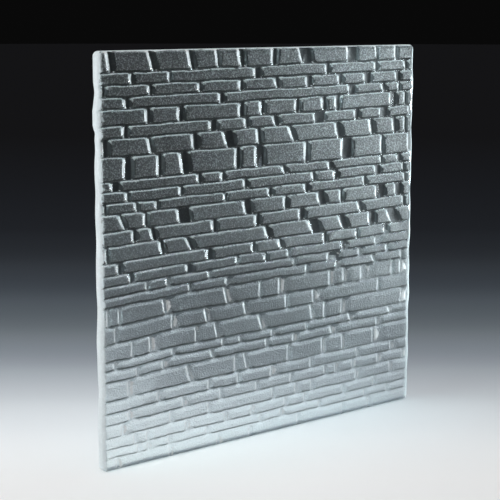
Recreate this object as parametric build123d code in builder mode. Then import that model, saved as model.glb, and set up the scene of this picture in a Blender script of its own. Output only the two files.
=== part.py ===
# Kiln-formed glass panel with a stacked-stone relief, one casting of clear glass.
# The panel stands upright on its bottom edge: X runs along its width, Z is up, and the
# relief faces -Y. The back is flat. The origin is the middle of the bottom edge.
# All sizes are millimetres.
import math
import os

from build123d import *

# Driving dimensions
panel_width = 305.0
panel_height = 305.0
sheet_thickness = 7.5  # glass behind the joints
stone_relief = 2.5  # how far a stone stands out of the joints
corner_radius = 4.0  # the panel's four corners, seen from the front
edge_rounding = 1.0  # fire-polished edge, all the way round, front and back
edge_margin = 1.2  # from the panel's edge to the foot of the outermost stones
bed_joint = 1.4  # gap between the feet of two courses
course_rise = 4.0  # how far each course climbs from the left edge to the right
stone_draft = 25.0  # slope of a stone's sides, in degrees off the face's normal
shortest_stone = 4.0  # a remnant under this length isn't cast

# One line for each course, from the top down: its height at the left edge, how far its head
# joints lean from their top to their foot, and the head joints, each as the right end of one
# stone and the left end of the next, measured from the panel's left edge.
courses = [
    (16.0, 2.5, [(7, 13), (43, 48), (77, 83), (101, 105), (122, 130), (153, 161), (187, 196),
                 (229, 241), (260, 264), (281, 286)]),
    (8.7, 0.5, [(26, 31), (58, 62), (136, 145), (207, 213), (258, 264), (292, 297)]),
    (8.5, 0.5, [(3, 8), (41, 47), (85, 91), (121, 128), (157, 163), (187, 195), (221, 227),
                (248, 256), (282, 290)]),
    (8.3, 0.5, [(21, 27), (103, 110), (231, 241), (268, 276)]),
    (11.8, 1.0, [(39, 44), (66, 73), (121, 129), (142, 149), (176, 183), (203, 211), (217, 225),
                 (276, 285)]),
    (8.7, 0.5, [(20, 27), (94, 101), (127, 133), (154, 163), (195, 210), (238, 246), (265, 276),
                (297, 300)]),
    (13.5, 2.0, [(3, 10), (41, 46), (79, 87), (108, 119), (139, 148), (171, 178), (219, 227),
                 (255, 262), (280, 287)]),
    (16.8, 1.5, [(20, 29), (48, 55), (69, 79), (118, 125), (138, 150), (186, 191), (225, 237),
                 (267, 273), (296, 300)]),
    (8.2, 0.5, [(9, 19), (84, 91), (105, 112), (164, 170), (210, 217), (267, 272), (286, 292)]),
    (8.8, 0.5, [(22, 30), (68, 75), (126, 133), (193, 199), (216, 223), (261, 270)]),
    (7.7, 0.5, [(3, 6), (29, 34), (47, 52), (106, 109), (149, 156), (186, 192), (248, 254),
                (293, 297)]),
    (12.0, 2.5, [(16, 22), (37, 41), (66, 79), (126, 135), (165, 172), (200, 211), (222, 229),
                 (262, 273), (283, 292)]),
    (10.0, 1.5, [(26, 32), (42, 49), (96, 102), (137, 145), (180, 189), (243, 250)]),
    (13.0, 4.0, [(4, 8), (50, 57), (74, 81), (147, 155), (191, 205), (223, 233), (255, 263),
                 (277, 288)]),
    (8.7, 0.5, [(13, 21), (91, 98), (133, 141), (161, 167), (205, 212), (241, 247), (271, 279)]),
    (8.3, 0.5, [(23, 30), (73, 82), (119, 125), (146, 151), (169, 174), (224, 234), (262, 270)]),
    (7.5, 0.5, [(37, 43), (55, 62), (93, 99), (175, 182), (210, 225), (244, 252), (274, 280)]),
    (6.8, 0.5, [(75, 82), (109, 116), (188, 193), (219, 227), (259, 266), (290, 295)]),
    (14.2, 2.5, [(4, 15), (52, 62), (108, 113), (141, 145), (161, 171), (213, 221), (228, 236),
                 (246, 261), (281, 285)]),
    (13.5, 2.0, [(11, 16), (60, 71), (90, 97), (127, 133), (168, 173), (196, 205), (265, 270)]),
    (12.5, 2.5, [(25, 30), (40, 50), (81, 86), (99, 105), (142, 150), (193, 199), (207, 212),
                 (226, 239), (292, 297)]),
    (7.2, 0.5, [(10, 17), (60, 65), (106, 110), (123, 127), (154, 158), (189, 193), (235, 243),
                (280, 286)]),
    (7.8, 0.5, [(28, 33), (51, 60), (96, 101), (148, 153), (176, 181), (216, 224), (265, 272)]),
    (14.2, 2.5, [(21, 38), (74, 84), (118, 122), (128, 138), (170, 175), (206, 213), (227, 233),
                 (261, 273)]),
    (9.3, 0.5, [(46, 53), (93, 97), (120, 124), (153, 163), (194, 198), (243, 250), (281, 290)]),
    (9.0, 0.5, [(22, 28), (69, 76), (103, 107), (138, 142), (173, 177), (209, 213), (220, 225),
                (238, 245), (268, 276)]),
    (10.0, 0.5, [(15, 24), (57, 61), (93, 97), (155, 159), (178, 184), (194, 199), (243, 257),
                 (280, 285)]),
    (8.3, 0.5, [(25, 38), (71, 79), (108, 113), (133, 140), (167, 171), (187, 191), (228, 232),
                (262, 267)]),
    (7.2, 0.5, [(37, 44), (57, 61), (142, 147), (164, 168), (202, 207), (253, 258), (277, 282)]),
    (8.5, 0.5, [(11, 19), (59, 64), (99, 108), (132, 136), (180, 185), (229, 234), (257, 262)]),
]

front_of_stones = -(sheet_thickness + stone_relief) / 2
front_of_sheet = front_of_stones + stone_relief
back_of_sheet = front_of_sheet + sheet_thickness
side_run = stone_relief * math.tan(math.radians(stone_draft))
smallest_side = max(shortest_stone, 2.5 * side_run)


def course_line(depth, x):
    """Height above the bottom edge of a course line that starts this deep at the left edge."""
    return panel_height - depth + course_rise * x / panel_width


def stone_feet():
    """The outline of every stone's foot, course by course from the top, as (x, z) corners."""
    left_limit, right_limit = edge_margin, panel_width - edge_margin
    top_limit, bottom_limit = panel_height - edge_margin, edge_margin
    feet = []
    depth = 0.0
    number = 0
    while depth < panel_height:
        height, lean, joints = courses[number % len(courses)]
        upper = depth + bed_joint / 2
        lower = depth + height - bed_joint / 2
        starts = [left_limit] + [start for _, start in joints]
        ends = [end for end, _ in joints] + [right_limit]
        for start, end in zip(starts, ends):
            start, end = max(start, left_limit), min(end, right_limit)
            half_lean = 0 if end == right_limit else lean / 2
            corners = []
            for x, line in (
                (start, lower),
                (end + half_lean, lower),
                (end - half_lean, upper),
                (start, upper),
            ):
                z = min(max(course_line(line, x), bottom_limit), top_limit)
                corners.append((x - panel_width / 2, z))
            length = end - start - 2 * half_lean
            rise = min(corners[3][1] - corners[0][1], corners[2][1] - corners[1][1])
            if length > smallest_side and rise > 2.1 * side_run:
                feet.append(corners)
        depth += height
        number += 1
    return feet


# The casting: a flat sheet with rounded corners and edges, and the stones raised on its front
with BuildPart() as glass_panel:
    with BuildSketch(Plane.XZ.offset(-back_of_sheet)):
        with Locations((0, panel_height / 2)):
            RectangleRounded(panel_width, panel_height, corner_radius)
    extrude(amount=sheet_thickness)
    rims = glass_panel.faces().filter_by(Axis.Y).edges()
    fillet(rims, radius=edge_rounding)
    with BuildSketch(Plane.XZ.offset(-front_of_sheet)):
        add([Face(Wire.make_polygon(corners)) for corners in stone_feet()])
    extrude(amount=stone_relief, taper=stone_draft)
glass_panel.part.label = "glass_panel"

os.makedirs("parts", exist_ok=True)
export_step(glass_panel.part, "parts/glass_panel.step")
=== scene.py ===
import math

import bmesh
import bpy
from mathutils import Matrix, Vector
from mathutils.geometry import delaunay_2d_cdt


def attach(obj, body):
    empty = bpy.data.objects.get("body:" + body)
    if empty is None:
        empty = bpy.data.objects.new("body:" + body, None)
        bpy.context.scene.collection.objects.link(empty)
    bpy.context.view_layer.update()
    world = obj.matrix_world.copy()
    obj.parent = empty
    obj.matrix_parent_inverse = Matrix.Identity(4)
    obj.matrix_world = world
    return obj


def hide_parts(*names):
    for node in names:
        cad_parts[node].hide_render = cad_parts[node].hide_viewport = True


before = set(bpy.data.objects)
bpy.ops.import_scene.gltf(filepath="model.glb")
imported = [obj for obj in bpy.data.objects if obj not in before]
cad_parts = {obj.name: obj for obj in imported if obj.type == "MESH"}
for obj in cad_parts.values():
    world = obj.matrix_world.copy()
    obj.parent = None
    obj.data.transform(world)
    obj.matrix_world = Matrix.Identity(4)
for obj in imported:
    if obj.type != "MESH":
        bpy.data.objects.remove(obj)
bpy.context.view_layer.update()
mm = 0.001


def linked(name, data):
    thing = bpy.data.objects.new(name, data)
    bpy.context.collection.objects.link(thing)
    return thing


def levelWay(degrees):  # a level direction, turned from straight back towards the right
    turn = math.radians(degrees)
    return (math.sin(turn), math.cos(turn), 0)


cameraSettings = {
    "azimuth": 36.87,  # how far the camera stands round to the panel's left, degrees
    "distance": 0.9703,
    "height": 0.3331,
    "aimX": -0.0171,
    "pitch": -8.03,
    "roll": 0.075,
    "lens": 91.66,
    "sensor": 36,
    "shiftY": -0.12,
    "farClip": 100,
}


def makeCamera(s):
    camera = bpy.data.cameras.new("camera")
    camera.sensor_width = s["sensor"]
    camera.lens = s["lens"]
    camera.shift_y = s["shiftY"]
    camera.clip_end = s["farClip"]
    holder = linked("camera", camera)
    aside, back, _ = levelWay(s["azimuth"])
    holder.location = (s["aimX"] - s["distance"] * aside, -s["distance"] * back, s["height"])
    facing = Matrix.Rotation(-math.radians(s["azimuth"]), 4, "Z")
    facing = facing @ Matrix.Rotation(math.radians(90 + s["pitch"]), 4, "X")
    facing = facing @ Matrix.Rotation(math.radians(s["roll"]), 4, "Z")
    holder.rotation_euler = facing.to_euler()
    bpy.context.scene.camera = holder
    print("camera made")


def newMaterial(name):
    material = bpy.data.materials.new(name)
    material.use_nodes = True
    tree = material.node_tree
    return material, tree, tree.nodes["Principled BSDF"]


# adds a node, its inputs are values or links in the order of its sockets
def put(tree, kind, *inputs, **settings):
    node = tree.nodes.new(kind)
    for name, value in settings.items():
        setattr(node, name, value)
    sockets = [s for s in node.inputs if s.enabled]
    for socket, value in zip(sockets, inputs):
        if isinstance(value, bpy.types.NodeSocket):
            tree.links.new(value, socket)
        else:
            socket.default_value = value
    return node


# an output of those that the node's settings leave in use
def out(node, index=0):
    return [s for s in node.outputs if s.enabled][index]


def rampOf(tree, factor, stops, interpolation="EASE"):
    ramp = put(tree, "ShaderNodeValToRGB", factor)
    ramp.color_ramp.interpolation = interpolation
    elements = ramp.color_ramp.elements
    while len(elements) < len(stops):
        elements.new(1)
    for element, (position, value) in zip(elements, stops):
        element.position = position
        element.color = (value, value, value, 1) if isinstance(value, float) else (*value, 1)
    return ramp.outputs["Color"]


# the fine grain of kiln-formed glass: pits and a noise for its height, and broad patches
grainSettings = {
    "noiseDetail": 2.0,
    "noiseRoughness": 0.6,
    "pitsPerGrain": 0.95,
    "pitDepth": -0.5,
    "patchScale": 0.07,
    "patchDetail": 3.0,
    "patchRange": (0.3, 0.7),  # of the patches noise, as far as it's used
    "heightRange": (0.26, 0.52),
}


def grainGroup(s):
    tree = bpy.data.node_groups.new("kilnGrain", "ShaderNodeTree")
    face = tree.interface
    for name, value in (("Size", 1.0), ("Seed", 0.0)):
        socket = face.new_socket(name, in_out="INPUT", socket_type="NodeSocketFloat")
        socket.default_value = value
    face.new_socket("Height", in_out="OUTPUT", socket_type="NodeSocketFloat")
    face.new_socket("Patches", in_out="OUTPUT", socket_type="NodeSocketFloat")
    given = put(tree, "NodeGroupInput")
    place = put(tree, "ShaderNodeTexCoord")
    perMetre = put(tree, "ShaderNodeMath", 1 / mm, given.outputs["Size"], operation="DIVIDE")
    spot = put(tree, "ShaderNodeVectorMath", place.outputs["Object"], operation="SCALE")
    tree.links.new(out(perMetre), spot.inputs["Scale"])
    fine = put(tree, "ShaderNodeTexNoise", noise_dimensions="4D")
    fine.inputs["Scale"].default_value = 1.0
    fine.inputs["Detail"].default_value = s["noiseDetail"]
    fine.inputs["Roughness"].default_value = s["noiseRoughness"]
    tree.links.new(out(spot), fine.inputs["Vector"])
    tree.links.new(given.outputs["Seed"], fine.inputs["W"])
    pits = put(tree, "ShaderNodeTexVoronoi", voronoi_dimensions="3D", feature="SMOOTH_F1")
    pits.inputs["Scale"].default_value = s["pitsPerGrain"]
    tree.links.new(out(spot), pits.inputs["Vector"])
    pitted = (pits.outputs["Distance"], s["pitDepth"], fine.outputs[0])
    height = put(tree, "ShaderNodeMath", *pitted, operation="MULTIPLY_ADD")
    patches = put(tree, "ShaderNodeTexNoise", noise_dimensions="3D")
    patches.inputs["Scale"].default_value = s["patchScale"]
    patches.inputs["Detail"].default_value = s["patchDetail"]
    tree.links.new(out(spot), patches.inputs["Vector"])
    result = put(tree, "NodeGroupOutput")
    tree.links.new(out(height), result.inputs["Height"])
    tree.links.new(patches.outputs[0], result.inputs["Patches"])
    return tree


# speckle: how much of the tint is left in the grain's pits and on its peaks; low values paint shade
# fades: between these heights, in metres, the speckle's painted shade changes to this value towards
# the foot
# gleam: how much of the polish's reflection is left
glassSettings = {
    "clearGlass": {  # joints and back
        "tint": (0.95, 0.985, 0.995), "transmission": 0.985, "roughness": 0.19, "ripple": 0.2,
        "speckleAndShade": (0.9, 1.0), "grainSize": 3.0, "grainDepth": 0.12,
    },
    "stoneGlass": {  # the stones' sandy faces; the dark tint in their pits is painted shade, paler at the foot
        "tint": (0.875, 0.965, 0.99), "transmission": 0.985, "roughness": 0.30, "ripple": 0.03,
        "speckleAndShade": (0.13, 1.0), "grainSize": 1.05, "grainDepth": 0.5, "fades": (0.02, 0.20, 1.0),
    },
    "shadeGlass": {  # painted shade where left ends, gaps and undersides turn the light away from the front
        # the painted shade is a near-black tint and a dimmed gloss, lighter towards the foot
        "tint": (0.72, 0.84, 0.87), "transmission": 0.985, "roughness": 0.30, "ripple": 0.1,
        "speckleAndShade": (0.03, 0.05), "grainSize": 1.4, "grainDepth": 0.15, "fades": (-0.03, 0.16, 1.0),
        "gleam": 0.2,
    },
    "ledgeGlass": {  # stones' sandy top edges: frosted painted highlight, painted darker towards the foot
        "tint": (0.90, 0.97, 0.985), "transmission": 0.28, "roughness": 0.30, "ripple": 0.03,
        "speckleAndShade": (0.7, 1.0), "grainSize": 1.3, "grainDepth": 0.2, "fades": (0.12, 0.20, 0.45),
    },
    "endGlass": {  # right ends of the stones, a frosted painted highlight that catches the light from the right
        "tint": (0.975, 0.995, 1.0), "transmission": 0.12, "roughness": 0.28, "ripple": 0.1,
        "speckleAndShade": (0.85, 1.0), "grainSize": 1.4, "grainDepth": 0.06, "fades": (0.02, 0.12, 1.0),
    },
    "edgeGlass": {  # the panel's own edges: painted piped light, a frosted finish that the lamps light
        "tint": (0.86, 0.94, 0.965), "transmission": 0.15, "roughness": 0.35, "ripple": 0.1,
        "speckleAndShade": (0.92, 1.0), "grainSize": 1.6, "grainDepth": 0.1,
    },
    "footGlass": {  # the edge it stands on: a painted contact shadow
        "tint": (0.11, 0.14, 0.19), "transmission": 0.1, "roughness": 0.35, "ripple": 0.1,
        "speckleAndShade": (0.5, 1.0), "grainSize": 2.6, "grainDepth": 0.1,
    },
}
glassIor = 1.5
glassShadow = (0.85, 0.9, 0.9, 1)


def makeGlass(name, s, grain):
    material, tree, shader = newMaterial(name)
    shader.inputs["IOR"].default_value = glassIor
    shader.inputs["Transmission Weight"].default_value = s["transmission"]
    gleam = s.get("gleam", 1.0)
    shader.inputs["Specular Tint"].default_value = (gleam, gleam, gleam, 1)
    texture = put(tree, "ShaderNodeGroup")
    texture.node_tree = grain
    texture.inputs["Size"].default_value = s["grainSize"]
    smoothest = s["roughness"] * (1 - s["ripple"] / 2)
    roughest = s["roughness"] * (1 + s["ripple"])
    patches = (texture.outputs["Patches"], *grainSettings["patchRange"], smoothest, roughest)
    tree.links.new(out(put(tree, "ShaderNodeMapRange", *patches)), shader.inputs["Roughness"])
    # the grain's height speckles the tint, its darker values are painted shade
    heights = (texture.outputs["Height"], *grainSettings["heightRange"], *s["speckleAndShade"])
    sandAndShade = put(tree, "ShaderNodeMapRange", *heights)
    # painted shade that changes with height: lighter towards the foot, on the ledges darker
    if "fades" in s:
        foot, top, value = s["fades"]
        place = put(tree, "ShaderNodeTexCoord")
        apart = put(tree, "ShaderNodeSeparateXYZ", place.outputs["Object"])
        towardsFoot = put(tree, "ShaderNodeMapRange", out(apart, 2), foot, top, 1.0, 0.0)
        sandAndShade = put(tree, "ShaderNodeMix", out(towardsFoot), out(sandAndShade), value)
    tinted = put(tree, "ShaderNodeVectorMath", s["tint"], operation="SCALE")
    tree.links.new(out(sandAndShade), tinted.inputs["Scale"])
    tree.links.new(out(tinted), shader.inputs["Base Color"])
    bump = put(tree, "ShaderNodeBump")
    bump.inputs["Strength"].default_value = 1.0
    bump.inputs["Distance"].default_value = s["grainDepth"] * mm
    tree.links.new(texture.outputs["Height"], bump.inputs["Height"])
    tree.links.new(bump.outputs["Normal"], shader.inputs["Normal"])
    shadowPasses(tree, shader)
    return material


def shadowPasses(tree, shader):  # glass lets most of the light through to its shadow
    path = put(tree, "ShaderNodeLightPath")
    clear = put(tree, "ShaderNodeBsdfTransparent", glassShadow)
    either = (path.outputs["Is Shadow Ray"], shader.outputs[0], clear.outputs[0])
    mix = put(tree, "ShaderNodeMixShader", *either)
    tree.links.new(mix.outputs[0], tree.nodes["Material Output"].inputs["Surface"])


# pale paper with a painted falloff of light that darkens it towards the back, distances in metres
floorSettings = {
    "radius": 12.0,
    "sides": 96,
    "roughness": 0.7,
    "fades": 36.0,  # the painted falloff darkens it this way, degrees from straight back towards the right
    "pale": -0.105,  # and starts to from here
    "fadesRight": 120.0,  # and this way too, in front
    "paleRight": 0.45,
    "tones": [  # (distance from where the painted falloff starts, colour)
        (0.0, (0.83, 0.83, 0.832)),
        (0.10, (0.75, 0.77, 0.79)),
        (0.19, (0.56, 0.59, 0.62)),
        (0.30, (0.305, 0.335, 0.37)),
        (0.43, (0.148, 0.170, 0.190)),
        (0.60, (0.066, 0.078, 0.092)),
        (0.80, (0.031, 0.036, 0.043)),
        (1.05, (0.016, 0.018, 0.022)),
        (2.5, (0.009, 0.009, 0.010)),
    ],
    "leftSlope": 0.483,  # it is paler left of a line across the floor, where the painted falloff stops
    "leftFrom": -0.275,
    "leftWhole": -0.475,
    "leftTone": (0.88, 0.89, 0.90, 1),
}


def makeFloor(s):
    material, tree, shader = newMaterial("floorPaper")
    place = put(tree, "ShaderNodeTexCoord").outputs["Object"]

    def beyond(way, start):
        along = put(tree, "ShaderNodeVectorMath", place, way, operation="DOT_PRODUCT")
        return out(put(tree, "ShaderNodeMath", along.outputs["Value"], start, operation="SUBTRACT"))

    # the painted falloff: darker with distance towards the back and towards the front right
    behind = beyond(levelWay(s["fades"]), s["pale"])
    right = beyond(levelWay(s["fadesRight"]), s["paleRight"])
    further = put(tree, "ShaderNodeMath", behind, right, operation="MAXIMUM")
    reach = s["tones"][-1][0]
    scaled = put(tree, "ShaderNodeMath", out(further), reach, operation="DIVIDE", use_clamp=True)
    stops = [(distance / reach, tone) for distance, tone in s["tones"]]
    paintedFalloff = rampOf(tree, out(scaled), stops, "CARDINAL")
    across = put(tree, "ShaderNodeVectorMath", place, (1, -s["leftSlope"], 0), operation="DOT_PRODUCT")
    leftOf = put(tree, "ShaderNodeMapRange", across.outputs["Value"], interpolation_type="SMOOTHSTEP")
    leftOf.inputs["From Min"].default_value = s["leftFrom"]
    leftOf.inputs["From Max"].default_value = s["leftWhole"]
    both = put(tree, "ShaderNodeMix", out(leftOf), paintedFalloff, s["leftTone"], data_type="RGBA")
    tree.links.new(out(both), shader.inputs["Base Color"])
    shader.inputs["Roughness"].default_value = s["roughness"]
    shader.inputs["Specular IOR Level"].default_value = 0.0
    mesh = bmesh.new()
    bmesh.ops.create_circle(mesh, cap_ends=True, segments=s["sides"], radius=s["radius"])
    data = bpy.data.meshes.new("floor")
    mesh.to_mesh(data)
    mesh.free()
    data.materials.append(material)
    linked("floor", data)
    print("floor made")


worldSettings = {
    "overhead": 6.6,  # a soft light straight above
    "low": 0.0028,
    "lowTo": 0.90,  # heights on the sky, 1 is straight above
    "overheadFrom": 0.98,
}


def makeWorld(s):
    world = bpy.data.worlds.new("studio")
    bpy.context.scene.world = world
    world.use_nodes = True
    tree = world.node_tree
    background = tree.nodes["Background"]
    place = put(tree, "ShaderNodeTexCoord")
    apart = put(tree, "ShaderNodeSeparateXYZ", place.outputs["Generated"])
    stops = [
        (0.0, s["low"]), (s["lowTo"], s["low"]),
        (s["overheadFrom"], s["overhead"]), (1.0, s["overhead"]),
    ]
    tree.links.new(rampOf(tree, out(apart, 2), stops), background.inputs["Color"])
    background.inputs["Strength"].default_value = 1.0
    print("world made")


lampSettings = {
    "nearRight": {
        "place": (0.28, -0.11, 0.225), "aim": (0.06, 0, 0.235), "size": (0.05, 0.35),
        "power": 0.26, "spread": 70, "colour": (0.82, 0.95, 1.0),
    },
    "left": {
        "place": (-1.5, 1.0, 0.6), "aim": (-0.15, 0, 0.15), "size": (0.9, 1.2),
        "power": 17, "spread": 180, "colour": (1, 1, 1),
    },
}


def makeLamp(name, s):
    lamp = bpy.data.lights.new(name, "AREA")
    lamp.shape = "RECTANGLE"
    lamp.size, lamp.size_y = s["size"]
    lamp.energy = s["power"]
    lamp.color = s["colour"]
    lamp.spread = math.radians(s["spread"])
    holder = linked(name, lamp)
    holder.location = s["place"]
    facing = Vector(s["aim"]) - Vector(s["place"])
    holder.rotation_euler = facing.to_track_quat("-Z", "Y").to_euler()
    print("lamp made:", name)


# the whole panel, mm, measured from its lower left corner and y from the frame's middle
panelSettings = {
    "width": 305.0,
    "height": 305.0,
    "front": -2.5,  # of the sheet behind the stones
    "back": 5.0,
    "corner": 4.0,
    "frontRounding": 1.6,
    "backRounding": 1.4,
    "backLip": 0.6,  # a flat strip inside the back's rounding
    "sideRows": (1.6, 3.2),  # rows round the side, behind the front's rounding
    "step": 0.6,
    "quickStep": 0.9,
    "rowShare": 0.7,  # rows lie closer than columns
    "frontEase": 2.0,  # the relief fades out over this much at the edge
    "rimShares": (0.5, 0.55),  # of the front's rounding, as far as the edge's finish reaches
    "backCells": 25,
    "backMargin": 4.0,
    "edgeReach": 9.0,  # how far in from the edge its waviness shows
    "leftInset": 0.9,
    "leftDents": [  # (height of the spot, how far in, how tall)
        (258, -1.6, 7), (276, 0.9, 5), (236, 0.8, 8), (247, 0.8, 3), (205, 0.5, 9), (170, 0.6, 12),
        (120, 0.7, 10), (95, -0.4, 8), (60, 0.6, 8), (30, -0.4, 9),
    ],
    "rightInset": 0.5,
    "rightWaves": [(0.35, 9.0, 0.0), (0.25, 4.1, 1.0)],  # (size, length, phase)
    "triangles": 190000,
}

# each course from the top: how deep its top line lies at the left and right edges, and its head
# joints as (right end of a stone, left end of the next, how far it leans to the right if it does)
courses = [
    (0.0, 0.0, [
        (7.5, 14, 2), (42.5, 49, 4.4), (76.7, 83, 2.7), (101, 105, 1.5), (122, 129.5, 2),
        (153, 161, -1), (180.5, 195, 3), (229, 242.3), (260, 263), (281, 286),
    ]),
    (16.0, 12.2, [
        (26, 31), (58.5, 62), (136, 145), (207, 214), (258.5, 265), (292, 298),
    ]),
    (24.8, 21.0, [
        (2, 8), (41, 47.5), (84.3, 90), (121.5, 128), (156, 163, 2), (186.7, 196), (220, 227.5),
        (247.5, 258), (282, 290),
    ]),
    (33.3, 30.2, [
        (20.5, 28), (103.5, 111), (230.5, 241), (267.5, 275, 1.6), (285, 290),
    ]),
    (41.8, 38.0, [
        (38.7, 45), (66, 73.7), (121.5, 129.5), (142, 148.5), (175.7, 183.7), (203.3, 210.5),
        (217, 225), (276.5, 286), (293, 297),
    ]),
    (53.4, 50.2, [
        (19.5, 27), (94.5, 104), (127, 134), (154.3, 163, 2.3), (195, 209), (238, 246),
        (265.3, 277), (297.5, 302),
    ]),
    (62.4, 58.8, [
        (2, 10), (41, 46.5, 2), (79, 87, 1.7), (108, 120, 3.3), (139, 146, 2), (171.5, 178, 5),
        (218.5, 227, 2.4), (254.5, 261.5, 2), (280, 287, 2), (293, 297),
    ]),
    (75.5, 72.8, [
        (19.7, 29), (48, 55), (68.5, 78.3, 3), (118.3, 125.7), (137.5, 148.5), (186, 192.3),
        (224.5, 238), (267.5, 272.7), (297.5, 302),
    ]),
    (92.5, 90.0, [
        (9, 19), (83.3, 90), (105, 111), (164, 170.7, 2), (210.3, 218), (266.7, 272.5),
        (285.5, 293),
    ]),
    (100.3, 97.5, [
        (22, 26), (67.7, 73.3), (126.3, 133), (193.7, 199.5), (216, 223.5), (261, 270), (292, 296),
    ]),
    (108.8, 105.8, [
        (2.5, 7), (29, 33.3), (46.3, 50.7), (108, 111), (149.7, 157), (186, 193.3), (247.7, 254),
        (293.5, 298),
    ]),
    (116.5, 114.2, [
        (17, 22.3, 5), (36.4, 41), (65.7, 79.7, 2), (126.5, 136.3, 2.4), (165.5, 171.3),
        (200.3, 210.5, 2.7), (222.8, 229), (262, 275), (283.7, 294),
    ]),
    (128.5, 125.8, [
        (26.5, 32.7), (42, 49, 2), (97, 104), (137, 144.7), (180.3, 189.3), (243, 251, 2.7),
        (293, 297),
    ]),
    (139.2, 135.2, [
        (4, 7.5), (50, 56.5, 2), (74.5, 81.7, 5), (147.7, 154.7, 3.6), (191.5, 205, 4.7),
        (223.7, 234, 5), (254.7, 264.5), (277, 290, 6),
    ]),
    (151.8, 148.2, [
        (13, 20.3), (91, 99.7), (133.8, 140.3), (160.7, 166.7, 2), (205.5, 212), (241, 246),
        (271.3, 279),
    ]),
    (160.8, 157.5, [
        (23, 30.3), (73, 81.7), (119, 124), (146, 151), (168.7, 175), (224.7, 234), (261.7, 271),
    ]),
    (168.8, 165.2, [
        (37, 42), (55, 62), (92.7, 98.5), (175, 180), (210, 226), (243.5, 252), (274, 280),
    ]),
    (176.8, 172.2, [
        (75, 80.3), (109.3, 118.3), (188, 194), (219, 228), (259.5, 267, 2.7), (291, 297),
    ]),
    (183.8, 179.8, [
        (4, 7), (14, 16), (52.5, 64, 2), (108.7, 118.5, 3), (141.5, 145), (161, 171), (212.3, 221),
        (228, 236), (247, 262), (281.5, 285), (291, 297),
    ]),
    (197.8, 193.2, [
        (11, 14), (60, 69), (90.5, 97, 2.5), (127, 133, 3), (168, 171.5), (195.7, 210), (266, 270),
    ]),
    (211.0, 205.0, [
        (25, 28), (40, 49.5), (81, 86.5), (100, 105.3, 2.7), (142, 149.5, 4.3), (193.5, 199, 2.4),
        (207.7, 211), (226, 234), (292.5, 298),
    ]),
    (224.0, 219.0, [
        (10, 15), (59.7, 65), (106, 110), (122.5, 127), (154, 160), (188.3, 192.5), (235, 244, 2),
        (279, 286, 3),
    ]),
    (231.0, 226.0, [
        (28.5, 33), (51, 58.5), (95.7, 101, 2), (148.3, 152), (175.5, 182), (215, 225, 2),
        (265, 271),
    ]),
    (239.0, 234.0, [
        (21.5, 30), (74.5, 81, 3), (117.7, 121.5), (128, 133, 2.7), (170, 174.5), (206, 212),
        (227, 233), (261, 274),
    ]),
    (253.3, 249.0, [
        (46.7, 52.5), (92.5, 97), (120.3, 123), (153, 163), (193.7, 197.5), (243.5, 249),
        (281.7, 290),
    ]),
    (262.3, 258.5, [
        (21, 29), (68.7, 76), (103.5, 107), (138.5, 142), (172.7, 176.5), (208.3, 212), (220, 226),
        (238.7, 246), (267, 275), (295, 299),
    ]),
    (271.2, 267.5, [
        (15, 23.5), (58, 61), (92.5, 96.5), (154.5, 158), (178, 184), (194.5, 199), (243, 249),
        (281, 287),
    ]),
    (281.0, 277.5, [
        (26, 31), (37, 40), (71.7, 79), (108, 113.7), (133.7, 140), (167, 171.5), (187, 190.5),
        (228, 232), (262.5, 267),
    ]),
    (289.4, 286.5, [
        (29, 32), (37.5, 44), (56, 60), (90.5, 95), (142, 146), (163, 172), (202.5, 206.5),
        (252.3, 256), (277.3, 281),
    ]),
    (296.0, 293.8, [
        (11, 20), (57, 64), (100.5, 110), (131.7, 136), (180, 185), (228.3, 232), (257, 262),
    ]),
    (307.0, 307.0, []),
]

# how the courses turn into raised tops and sunken joints, mm
stoneSettings = {
    "endCrest": -1.7,  # crest of a stone's right end, from the listed position
    "endFoot": 2.7,
    "startCrest": 0.5,
    "startFoot": -2.7,
    "underCrest": 1.8,  # crest of a stone's bottom edge above the bed joint
    "overCrest": 0.95,  # crest of a stone's top edge below the bed joint
    "lastCrest": 299.0,  # the stones stop short of the right edge
    "bareStrip": 301.0,
    "softFrom": 15,  # from this course on the joints turn softer and closer
    "softWhole": 19,  # and are fully so from this one
    "softEndFoot": 1.1,
    "softStartCrest": 2.0,
    "softStartFoot": -12.0,
    "softUnderCrest": 1.5,
    "softOverCrest": 3.2,
    "bentFrom": 14,  # from this course on the bed joints drop most near the left edge
    "bentWidth": 70.0,
    "bentShare": 0.65,
    "bedMarks": [-3.0, 20.0, 45.0, 70.0, 150.0, 230.0, 309.0],  # where the bed joints bend
    "past": (-3.0, 309.0, 308.0),  # the joints run on past the left, right and bottom edges
    "leastTop": 0.4,  # a stone with a narrower top is left out
    "leastGap": 0.3,
    "proud": (0.86, 0.16),  # each stone's height as a share of the relief: least, and more by chance
    "leanAcross": 0.6,  # over a stone's length, half of it either way
    "leanUp": 0.05,  # a slope, half of it either way
    "leanLength": 12.0,  # shorter stones lean as if they were this long
    "seed": 11,
}


def courseDepth(number, x):
    left, right = courses[number][:2]
    share = x / panelSettings["width"]
    s = stoneSettings
    if number >= s["bentFrom"]:
        near = min(1.0, x / s["bentWidth"])
        share = s["bentShare"] * near + (1 - s["bentShare"]) * share
    return left + (right - left) * share


def toPanel(x, depth):
    s = panelSettings
    return ((x - s["width"] / 2) * mm, 0.0, (s["height"] - depth) * mm)


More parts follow.
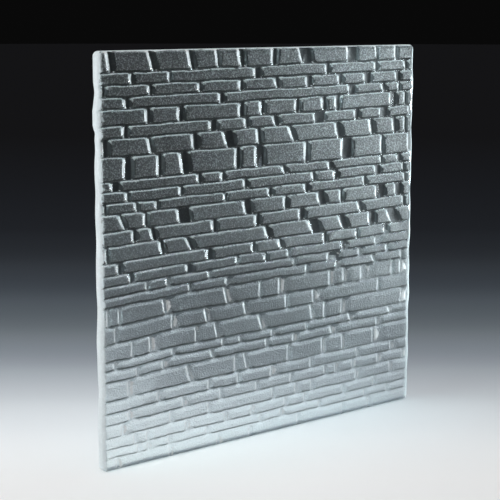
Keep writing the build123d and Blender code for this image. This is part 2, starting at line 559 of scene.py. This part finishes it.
# a course's four-cornered tops and head joints
def courseShapes(s, number):
    soft = (number - s["softFrom"]) / (s["softWhole"] - s["softFrom"])
    soft = min(1.0, max(0.0, soft))

    def mixed(name):
        return s[name] + (s["soft" + name[0].upper() + name[1:]] - s[name]) * soft

    def top(x):
        return courseDepth(number, x)

    def bottom(x):
        return courseDepth(number + 1, x)

    endFoot, startCrest, startFoot = mixed("endFoot"), mixed("startCrest"), mixed("startFoot")
    underCrest, overCrest = mixed("underCrest"), mixed("overCrest")
    pastLeft, pastRight, _ = s["past"]
    joints = [(end, start, lean[0] if lean else 0.0) for end, start, *lean in courses[number][2]]
    starts = [(pastLeft, pastLeft, 0.0)] + joints
    finishes = joints + [(pastRight, pastRight, 0.0)]
    crests, gaps = [], []
    for (_, start, leanIn), (end, follow, leanOut) in zip(starts, finishes):
        crest = [
            (start + startCrest - leanIn / 2, top(start) + overCrest),
            (end + s["endCrest"] - leanOut / 2, top(end) + overCrest),
            (end + s["endCrest"] + leanOut / 2, bottom(end) - underCrest),
            (start + startCrest + leanIn / 2, bottom(start) - underCrest),
        ]
        crest = [(min(x, s["lastCrest"]), depth) for x, depth in crest]
        if min(crest[1][0] - crest[0][0], crest[2][0] - crest[3][0]) > s["leastTop"]:
            crests.append([toPanel(*corner) for corner in crest])
        if end < panelSettings["width"]:
            left = end + endFoot
            right = max(left + s["leastGap"], follow + startFoot)
            gap = [
                (left - leanOut / 2, top(end)), (right - leanOut / 2, top(end)),
                (right + leanOut / 2, bottom(end)), (left + leanOut / 2, bottom(end)),
            ]
            gaps.append([toPanel(*corner) for corner in gap])
    return crests, gaps


def stoneShapes(s):
    crests, beds, gaps = [], [], []
    for number in range(len(courses) - 1):
        tops, joints = courseShapes(s, number)
        crests += tops
        gaps += joints
        if number:
            points = [toPanel(x, courseDepth(number, x)) for x in s["bedMarks"]]
            beds += zip(points, points[1:])
    strip = s["bareStrip"]
    pastLeft, pastRight, pastBottom = s["past"]
    corners = ((strip, pastLeft), (pastRight, pastLeft), (pastRight, pastBottom), (strip, pastBottom))
    gaps.append([toPanel(*corner) for corner in corners])
    return crests, beds, gaps


def meshOf(name, faces=(), lines=()):
    points, polygons, edges = [], [], []
    for face in faces:
        polygons.append(list(range(len(points), len(points) + len(face))))
        points.extend(face)
    for line in lines:
        edges.append((len(points), len(points) + 1))
        points.extend(line)
    data = bpy.data.meshes.new(name)
    data.from_pydata(points, edges, polygons)
    return linked(name, data)


def randomStream(seed):  # the same draws in every version
    state = seed
    while True:
        state = (state * 1103515245 + 12345) % 2147483648
        yield state / 2147483648


def markStones(data, s):  # each stone's height and lean, by chance
    draw = randomStream(s["seed"])
    proud = data.attributes.new("proud", "FLOAT", "FACE")
    lean = data.attributes.new("lean", "FLOAT_VECTOR", "FACE")
    middle = data.attributes.new("middle", "FLOAT_VECTOR", "FACE")
    least, more = s["proud"]
    for k, face in enumerate(data.polygons):
        corner = data.vertices[face.vertices[0]].co
        long = max(abs(face.center.x - corner.x) * 2 / mm, s["leanLength"])
        proud.data[k].value = least + more * next(draw)
        across = (next(draw) - 0.5) * s["leanAcross"] / long
        lean.data[k].vector = (across, 0, (next(draw) - 0.5) * s["leanUp"])
        middle.data[k].vector = face.center


# a place on the blank: rounded corners, and uneven left and right edges
def onBlank(s, x, z, y):
    width, height, corner = s["width"], s["height"], s["corner"]
    fromX = min(max(x, corner), width - corner)
    fromZ = min(max(z, corner), height - corner)
    u, v = x - fromX, z - fromZ
    if u and v:
        scale = max(abs(u), abs(v)) / math.hypot(u, v)
        x, z = fromX + u * scale, fromZ + v * scale
    left = s["leftInset"]
    for spot, depth, tall in s["leftDents"]:
        left += depth * math.exp(-(((z - spot) / tall) ** 2))
    x += max(0.0, left) * math.exp(-((x / s["edgeReach"]) ** 2))
    right = s["rightInset"]
    for size, length, phase in s["rightWaves"]:
        right += size * math.sin(z / length + phase)
    x -= right * math.exp(-(((width - x) / s["edgeReach"]) ** 2))
    return ((x - width / 2) * mm, y * mm, z * mm)


def roundTurns():  # a quarter turn in steps
    return [math.radians(15 * k) for k in range(7)]


def gridStops(length, step, rounding):
    near = [rounding * (1 - math.cos(turn)) for turn in roundTurns()]
    count = round((length - 2 * rounding) / step)
    middle = [rounding + (length - 2 * rounding) * k / count for k in range(1, count)]
    return near + middle + [length - d for d in reversed(near)]


# rows round the side and onto the back, from the front grid's outline
def addSides(s, ring, outline, points, faces):
    width, height, rounding = s["width"], s["height"], s["backRounding"]
    levels = [(0.0, s["front"] + s["frontRounding"] + behind) for behind in s["sideRows"]]
    for turn in roundTurns()[::2]:
        inward = rounding * (1 - math.cos(turn))
        levels.append((inward, s["back"] - rounding * (1 - math.sin(turn))))
    levels.append((rounding + s["backLip"], s["back"]))
    for inward, y in levels:
        fresh = []
        for x, z in outline:
            x = min(max(x, inward), width - inward)
            z = min(max(z, inward), height - inward)
            fresh.append(len(points))
            points.append(onBlank(s, x, z, y))
        for k in range(len(ring)):
            n = (k + 1) % len(ring)
            faces.append((ring[n], ring[k], fresh[k], fresh[n]))
        ring = fresh
    return ring


# the flat back: the last ring and a coarse lattice, joined as triangles
def addBack(s, ring, points, faces):
    cells, margin = s["backCells"], s["backMargin"]
    width, height = s["width"] - 2 * margin, s["height"] - 2 * margin
    flat = [Vector((points[i][0], points[i][2])) for i in ring]
    for a in range(1, cells):
        for b in range(1, cells):
            flat.append(Vector(((a / cells - 0.5) * width * mm, (b / cells * height + margin) * mm)))
    border = [(k, (k + 1) % len(ring)) for k in range(len(ring))]
    places, _, triangles, origins = delaunay_2d_cdt(flat, border, [], 1, 1e-7)[:4]
    index = {}
    for new, old in enumerate(origins):
        if old and old[0] < len(ring):
            index[new] = ring[old[0]]
        else:
            index[new] = len(points)
            points.append((places[new].x, s["back"] * mm, places[new].y))
    for triangle in triangles:
        faces.append(tuple(index[i] for i in reversed(triangle)))


# a closed slab: a fine grid in front, rounded edges and a coarse back
def makeBlank(s, step):
    width, height, rounding = s["width"], s["height"], s["frontRounding"]
    xs = gridStops(width, step, rounding)
    zs = gridStops(height, step * s["rowShare"], rounding)
    columns, rows = len(xs), len(zs)
    inwards = [min(x, z, width - x, height - z) for z in zs for x in xs]
    points, faces = [], []
    for k, inward in enumerate(inwards):
        row, column = divmod(k, columns)
        y = s["front"]
        if inward < rounding:
            y += rounding - math.sqrt(max(0.0, rounding**2 - (rounding - inward) ** 2))
        points.append(onBlank(s, xs[column], zs[row], y))
    for row in range(rows - 1):
        for column in range(columns - 1):
            a = row * columns + column
            faces.append((a, a + 1, a + 1 + columns, a + columns))
    frontFaces = len(faces)
    loop = [(column, 0) for column in range(columns)]  # anticlockwise from the front
    loop += [(columns - 1, row) for row in range(1, rows)]
    loop += [(column, rows - 1) for column in range(columns - 2, -1, -1)]
    loop += [(0, row) for row in range(rows - 2, 0, -1)]
    ring = [row * columns + column for column, row in loop]
    outline = [(xs[column], zs[row]) for column, row in loop]
    ring = addSides(s, ring, outline, points, faces)
    rimFaces = len(faces) - 2 * len(ring)
    addBack(s, ring, points, faces)
    data = bpy.data.meshes.new("glassPanel")
    data.from_pydata(points, [], faces)
    rim = data.attributes.new("rim", "FLOAT", "FACE")
    front = data.attributes.new("front", "FLOAT", "POINT")
    for k, inward in enumerate(inwards):
        share = min(1.0, inward / s["frontEase"])
        front.data[k].value = share * share * (3 - 2 * share)
    nearShare, farShare = s["rimShares"]
    for k in range(len(faces)):
        isRim = k < rimFaces
        if k < frontFaces:
            near, _, far, _ = faces[k]
            isRim = inwards[near] < rounding * nearShare and inwards[far] < rounding * farShare
        rim.data[k].value = float(isRim)
    print("blank made:", len(points), "points")
    return linked("glassPanel", data)


# the inputs of the relief's modifier, lengths in mm
reliefSettings = {
    "Relief": 2.2,
    "Bed depth": 0.9,
    "Waviness": 2.4,
    "Raggedness": 0.55,
    "Undulation": 0.45,
    "Seed": 4.0,
}

# how the relief rises from the joints; scales are for mm, distances and heights in metres
slopeSettings = {
    "waveScale": 0.055,
    "ragScale": 0.42,
    "swellScale": 0.11,
    "dimpleScale": 0.35,
    "dimple": 0.4,
    "straight": 0.55,  # the slopes are this much straight, the rest is rounded
    "gapReach": (0.001, 0.0045),  # beds are as deep as head joints this near to them
    "shallowBand": (0.12, 0.17),
    "shallowest": 0.5,  # the beds get shallower below that band
    "headShallow": (0.6, 0.4),  # the head joints follow that by so much, and keep the rest
    "deepest": -0.0002,
    "highest": 0.25,  # over the relief, mm
}

# where each finish goes; shares run from 0 at a joint's foot to 1 at a stone's top
# by the side a slope faces, finishes paint light on ends, ledges and the panel's edges,
# shade on left ends, gaps and undersides, and a contact shadow along the foot
finishSettings = {
    "headMargin": 0.0003,  # a face is beside a head joint when that is nearer than the bed by this
    "frontFrom": 0.02,  # the relief's share at the edge, where the front's finishes begin
    "topFrom": 0.86,
    "slopeTo": 0.93,
    "leftTo": 0.95,
    "gapTo": 0.12,
    "endFrom": 0.2,
    "endShorter": 0.23,  # low on the panel the ends' painted highlight stops sooner
    "ledgeFrom": 0.3,
    # where the undersides' painted shade goes
    "belowFrom": 0.02,
    "belowReach": 0.0019,  # undersides are no further than this from their bed
    "belowBand": (0.0, 0.15, -0.04, 0.05),  # undersides end this high, from the middle to the right
    "belowNoise": (0.12, 0.16),
    "belowStretch": (0.35, 1.0, 1.0),
    "lowNoise": (0.05, 0.08, 0.10),  # scale, size and least height of an uneven border
    "ledgeNoise": (0.09, 0.16, 0.07),
    "tornNoise": (0.9, 7.0, -0.6),  # the edge's painted light is torn on the left, mm
    "tornStretch": (0.25, 1.0, 1.0),
    # the right lip gets the edge's painted light too
    "lipFrom": 302.6,
    # how high the painted contact shadow along the foot reaches, metres
    "footTo": 0.0013,
}


# short ways to add the fields of a geometry node tree
class Fields:
    def __init__(self, tree, seed):
        self.tree = tree
        self.seed = seed

    def add(self, kind, *inputs, **settings):
        return out(put(self.tree, kind, *inputs, **settings))

    def maths(self, operation, *values):
        return self.add("ShaderNodeMath", *values, operation=operation)

    def vectors(self, operation, *values):
        return self.add("ShaderNodeVectorMath", *values, operation=operation)

    def scaled(self, vector, factor):
        node = put(self.tree, "ShaderNodeVectorMath", vector, operation="SCALE")
        self.tree.links.new(factor, node.inputs["Scale"])
        return out(node)

    def apart(self, vector):
        return put(self.tree, "ShaderNodeSeparateXYZ", vector).outputs

    def named(self, name, kind="FLOAT"):
        return self.add("GeometryNodeInputNamedAttribute", name, data_type=kind)

    def smooth(self, value, low, high, toLow=0.0, toHigh=1.0):
        ends = (value, low, high, toLow, toHigh)
        return self.add("ShaderNodeMapRange", *ends, interpolation_type="SMOOTHSTEP")

    def noise(self, place, scale, detail, output=0):
        node = put(self.tree, "ShaderNodeTexNoise", noise_dimensions="4D")
        self.tree.links.new(place, node.inputs["Vector"])
        self.tree.links.new(self.seed, node.inputs["W"])
        node.inputs["Scale"].default_value = scale
        node.inputs["Detail"].default_value = detail
        return node.outputs[output]

    def over(self, value, limit):
        return self.maths("GREATER_THAN", value, limit)

    def under(self, value, limit):
        return self.maths("LESS_THAN", value, limit)

    def every(self, first, *others):
        for other in others:
            first = self.maths("MULTIPLY", first, other)
        return first

    def either(self, first, *others):
        for other in others:
            first = self.maths("MAXIMUM", first, other)
        return first


def inputNamed(node, words):
    return [s for s in node.inputs if s.enabled and words in s.name][0]


def distanceTo(f, thing, element, place):
    info = put(f.tree, "GeometryNodeObjectInfo", thing)
    near = put(f.tree, "GeometryNodeProximity", target_element=element)
    f.tree.links.new(info.outputs["Geometry"], near.inputs[0])
    f.tree.links.new(place, inputNamed(near, "Position"))
    return near.outputs["Distance"]


def valueOfStone(f, crests, place, name, kind="FLOAT"):
    info = put(f.tree, "GeometryNodeObjectInfo", crests)
    node = put(f.tree, "GeometryNodeSampleNearestSurface", data_type=kind)
    f.tree.links.new(info.outputs["Geometry"], node.inputs[0])
    f.tree.links.new(f.named(name, kind), inputNamed(node, "Value"))
    f.tree.links.new(place, inputNamed(node, "Sample Position"))
    return out(node)


# the place on the front where the stones are looked up, moved a little so their sides wander
def wanderedPlace(f, given, flat, s):
    wave = f.vectors("SUBTRACT", f.noise(flat, s["waveScale"], 1.0, "Color"), (0.5, 0.5, 0.5))
    rag = f.vectors("SUBTRACT", f.noise(flat, s["ragScale"], 2.0, "Color"), (0.5, 0.5, 0.5))
    moved = f.vectors("ADD", flat, f.scaled(wave, given["Waviness"]))
    moved = f.vectors("ADD", moved, f.scaled(rag, given["Raggedness"]))
    return f.vectors("MULTIPLY", moved, (mm, 0.0, mm))


# how far the front rises: stones of uneven height that lean a little, and sunken joints
def riseOf(f, given, parts, s):
    share, spot, flat = parts["share"], parts["spot"], parts["flat"]
    rounded = f.smooth(share, 0.0, 1.0)
    slope = f.maths("MULTIPLY", rounded, 1 - s["straight"])
    slope = f.maths("MULTIPLY_ADD", share, s["straight"], slope)
    nearHead = f.smooth(parts["toHead"], *s["gapReach"], 1.0, 0.0)
    shallow = f.smooth(parts["height"], *s["shallowBand"], s["shallowest"], 1.0)
    nearHead = f.maths("MULTIPLY", nearHead, f.maths("MULTIPLY_ADD", shallow, *s["headShallow"]))
    bedShare = f.either(f.maths("MULTIPLY", given["Bed depth"], shallow), nearHead)
    sunk = f.maths("MULTIPLY", f.maths("SUBTRACT", 1.0, slope), bedShare)
    proud = valueOfStone(f, given["Crests"], spot, "proud")
    lean = valueOfStone(f, given["Crests"], spot, "lean", "FLOAT_VECTOR")
    tilt = put(f.tree, "ShaderNodeVectorMath", parts["offset"], lean, operation="DOT_PRODUCT")
    swell = f.maths("SUBTRACT", f.noise(flat, s["swellScale"], 2.0), 0.5)
    dimple = f.maths("SUBTRACT", f.noise(flat, s["dimpleScale"], 2.0), 0.5)
    uneven = f.maths("MULTIPLY_ADD", dimple, s["dimple"], swell)
    uneven = f.maths("MULTIPLY", f.maths("MULTIPLY", uneven, given["Undulation"]), mm)
    rise = f.maths("MULTIPLY", f.maths("SUBTRACT", 1.0, sunk), proud)
    rise = f.maths("MULTIPLY", f.maths("MULTIPLY", rise, given["Relief"]), mm)
    loose = f.maths("ADD", uneven, tilt.outputs["Value"])
    rise = f.maths("ADD", rise, f.maths("MULTIPLY", loose, slope))
    most = f.maths("MULTIPLY", f.maths("ADD", given["Relief"], s["highest"]), mm)
    return f.maths("MINIMUM", f.maths("MAXIMUM", rise, s["deepest"]), most)


# which finish each face of the mesh gets, the later ones cover the earlier;
# the side a slope faces picks its painted light or painted shade
def finishesOf(f, parts, s):
    share, flat, height = parts["share"], parts["flat"], parts["height"]
    toBed, toHead = parts["toBed"], parts["toHead"]
    sideways, _, upwards = f.apart(parts["offset"])
    isFront = f.over(parts["front"], s["frontFrom"])
    byHead = f.under(toHead, f.maths("SUBTRACT", toBed, s["headMargin"]))
    byBed = f.maths("SUBTRACT", 1.0, byHead)

    def border(place, scale, size, least):
        return f.maths("MULTIPLY_ADD", f.noise(place, scale, 3.0), size, least)

    lowest = border(flat, *s["lowNoise"])
    isLow, isUpper = f.under(height, lowest), f.over(height, lowest)
    isTop = f.either(f.every(isFront, f.over(share, s["topFrom"])), f.every(isFront, isLow))

    # painted shade: left ends, gap floors and undersides
    onLeft = (f.under(sideways, 0.0), f.under(share, s["leftTo"]))
    isLeft = f.every(isFront, byHead, *onLeft, isUpper)
    isGap = f.every(isFront, byHead, f.under(share, s["gapTo"]), isUpper)
    scale, size = s["belowNoise"]
    drawn = f.noise(f.vectors("MULTIPLY", flat, s["belowStretch"]), scale, 2.0)
    drawn = f.maths("MULTIPLY", drawn, size)
    drawn = f.maths("ADD", drawn, f.smooth(parts["x"], *s["belowBand"]))
    onUnderside = (f.over(share, s["belowFrom"]), f.under(share, s["slopeTo"]))
    onUnderside += (f.under(toBed, s["belowReach"]), f.over(height, drawn))
    isBelow = f.every(isFront, byBed, f.under(upwards, 0.0), *onUnderside)

    # painted highlight on the right ends
    endMost = f.maths("MULTIPLY", isLow, s["endShorter"])
    endMost = f.maths("SUBTRACT", s["slopeTo"], endMost)
    onEnd = (f.over(share, s["endFrom"]), f.under(share, endMost))
    isEnd = f.every(isFront, byHead, f.over(sideways, 0.0), *onEnd)
    # painted highlight on the top edges, painted darker at the foot by their finish
    onLedge = (f.over(share, s["ledgeFrom"]), f.under(share, s["slopeTo"]))
    onLedge += (f.over(height, border(flat, *s["ledgeNoise"])),)
    isLedge = f.every(isFront, byBed, f.over(upwards, 0.0), *onLedge)

    # painted piped light on the panel's edges, a torn strip along the left and a lip along the right
    isRim = f.over(f.named("rim"), 0.5)
    fromLeft = f.maths("ADD", f.apart(flat)[0], panelSettings["width"] / 2)
    streaked = f.vectors("MULTIPLY", flat, s["tornStretch"])
    torn = f.under(fromLeft, border(streaked, *s["tornNoise"]))
    lip = f.over(fromLeft, s["lipFrom"])
    isRim = f.either(isRim, f.every(f.either(torn, lip), isFront))
    # the foot's finish at the end is a painted contact shadow
    return [
        ("clearGlass", None), ("stoneGlass", isTop), ("shadeGlass", f.either(isLeft, isGap, isBelow)),
        ("ledgeGlass", isLedge), ("endGlass", isEnd), ("edgeGlass", isRim),
        ("footGlass", f.under(height, s["footTo"])),
    ]


def reliefTree(glass):
    tree = bpy.data.node_groups.new("stoneRelief", "GeometryNodeTree")
    face = tree.interface
    face.new_socket("Geometry", in_out="INPUT", socket_type="NodeSocketGeometry")
    for name in ("Crests", "Bed joints", "Head joints"):
        face.new_socket(name, in_out="INPUT", socket_type="NodeSocketObject")
    for name in reliefSettings:
        face.new_socket(name, in_out="INPUT", socket_type="NodeSocketFloat")
    face.new_socket("Geometry", in_out="OUTPUT", socket_type="NodeSocketGeometry")
    given = {s.name: s for s in put(tree, "NodeGroupInput").outputs}
    f = Fields(tree, given["Seed"])

    position = f.add("GeometryNodeInputPosition")
    flat = f.vectors("MULTIPLY", position, (1 / mm, 0.0, 1 / mm))  # the face, in mm
    spot = wanderedPlace(f, given, flat, slopeSettings)
    toCrest = distanceTo(f, given["Crests"], "FACES", spot)
    toBed = distanceTo(f, given["Bed joints"], "EDGES", spot)
    toHead = distanceTo(f, given["Head joints"], "FACES", spot)
    toFoot = f.maths("MINIMUM", toBed, toHead)
    both = f.maths("ADD", f.maths("ADD", toFoot, toCrest), 1e-6)  # never zero
    middle = valueOfStone(f, given["Crests"], spot, "middle", "FLOAT_VECTOR")
    x, _, height = f.apart(position)
    parts = {
        "flat": flat, "spot": spot, "x": x, "height": height, "toBed": toBed, "toHead": toHead,
        "share": f.maths("DIVIDE", toFoot, both), "front": f.named("front"),
        "offset": f.vectors("SUBTRACT", spot, middle),
    }

    rise = riseOf(f, given, parts, slopeSettings)
    push = put(tree, "ShaderNodeCombineXYZ")
    forward = f.maths("MULTIPLY", f.maths("MULTIPLY", rise, parts["front"]), -1.0)
    tree.links.new(forward, push.inputs["Y"])
    placed = put(tree, "GeometryNodeSetPosition", given["Geometry"])
    tree.links.new(out(push), placed.inputs["Offset"])
    real = put(tree, "GeometryNodeRealizeInstances", out(placed))
    last = f.add("GeometryNodeSetShadeSmooth", out(real))
    for name, chosen in finishesOf(f, parts, finishSettings):
        painted = put(tree, "GeometryNodeSetMaterial", last)
        painted.inputs["Material"].default_value = glass[name]
        if chosen is not None:
            tree.links.new(chosen, painted.inputs["Selection"])
        last = out(painted)
    put(tree, "NodeGroupOutput", last)
    return tree


def applied(thing, modifier):  # the modifier's result becomes the object's own mesh
    bpy.context.view_layer.update()
    graph = bpy.context.evaluated_depsgraph_get()
    result = bpy.data.meshes.new_from_object(thing.evaluated_get(graph))
    thing.modifiers.remove(modifier)
    thing.data = result


def makePanel(s, glass):
    crests, beds, gaps = stoneShapes(stoneSettings)
    guides = {
        "Crests": meshOf("crests", faces=crests),
        "Bed joints": meshOf("bedJoints", lines=beds),
        "Head joints": meshOf("headJoints", faces=gaps),
    }
    markStones(guides["Crests"].data, stoneSettings)
    panel = makeBlank(s, s["step"])
    for material in glass.values():
        panel.data.materials.append(material)
    tree = reliefTree(glass)
    relief = panel.modifiers.new("relief", "NODES")
    relief.node_group = tree
    inputs = [item for item in tree.interface.items_tree if item.in_out == "INPUT"]
    identifiers = {item.name: item.identifier for item in inputs}
    for name, value in (*guides.items(), *reliefSettings.items()):
        relief[identifiers[name]] = value
    applied(panel, relief)
    count = sum(len(face.vertices) - 2 for face in panel.data.polygons)
    print("relief made:", count, "triangles")
    thin = panel.modifiers.new("thin", "DECIMATE")
    thin.ratio = min(1.0, s["triangles"] / count)
    applied(panel, thin)
    panel.data.name = "glassPanel"
    for guide in guides.values():
        bpy.data.objects.remove(guide)
    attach(panel, "root")
    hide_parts("glass_panel")
    print("panel made:", len(panel.data.polygons), "faces")


makeCamera(cameraSettings)
makeFloor(floorSettings)
makeWorld(worldSettings)
for name, settings in lampSettings.items():
    makeLamp(name, settings)
grain = grainGroup(grainSettings)
glasses = {name: makeGlass(name, settings, grain) for name, settings in glassSettings.items()}
print("finishes made:", len(glasses))
makePanel(panelSettings, glasses)

bpy.context.scene.view_settings.view_transform = "Standard"
